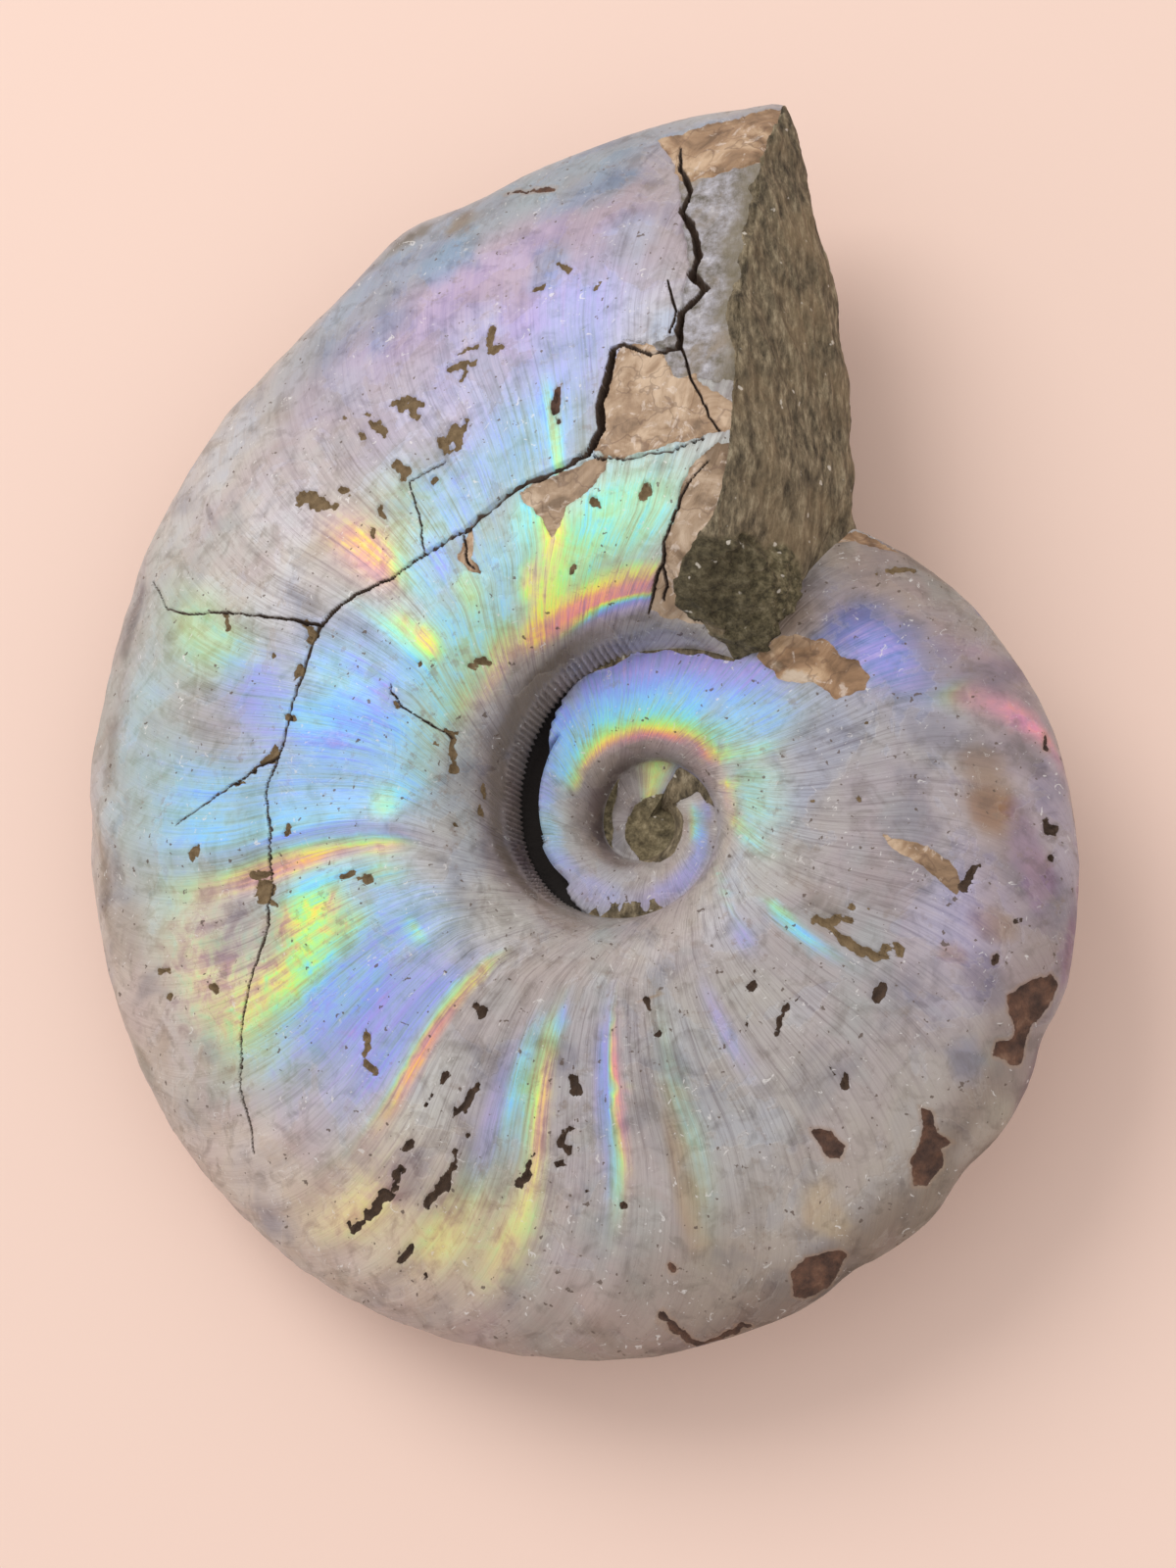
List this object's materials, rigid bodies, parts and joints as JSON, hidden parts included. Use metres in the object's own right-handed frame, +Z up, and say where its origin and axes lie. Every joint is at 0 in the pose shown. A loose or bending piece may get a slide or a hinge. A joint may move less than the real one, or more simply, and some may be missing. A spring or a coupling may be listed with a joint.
{
  "type": "iridescent ammonite fossil",
  "caption": "Flat-coiled fossil shell with an iridescent nacre surface and a broken stone-filled mouth, lying on its flank.",
  "frame": {"origin": "middle of the bounding box's footprint, on the surface that the fossil lies on", "axes": "+Z up, away from the surface it lies on; +Y along its longest extent, towards the broken mouth; +X to the right as seen from above"},
  "size_m": [0.111, 0.137, 0.0358],
  "materials": {
    "nacre": "satin iridescent nacre, worn and cracked, with brown calcite and rough olive stone at the break"
  },
  "bodies": {
    "root": {"ammonite": "nacre"}
  },
  "joints": []
}
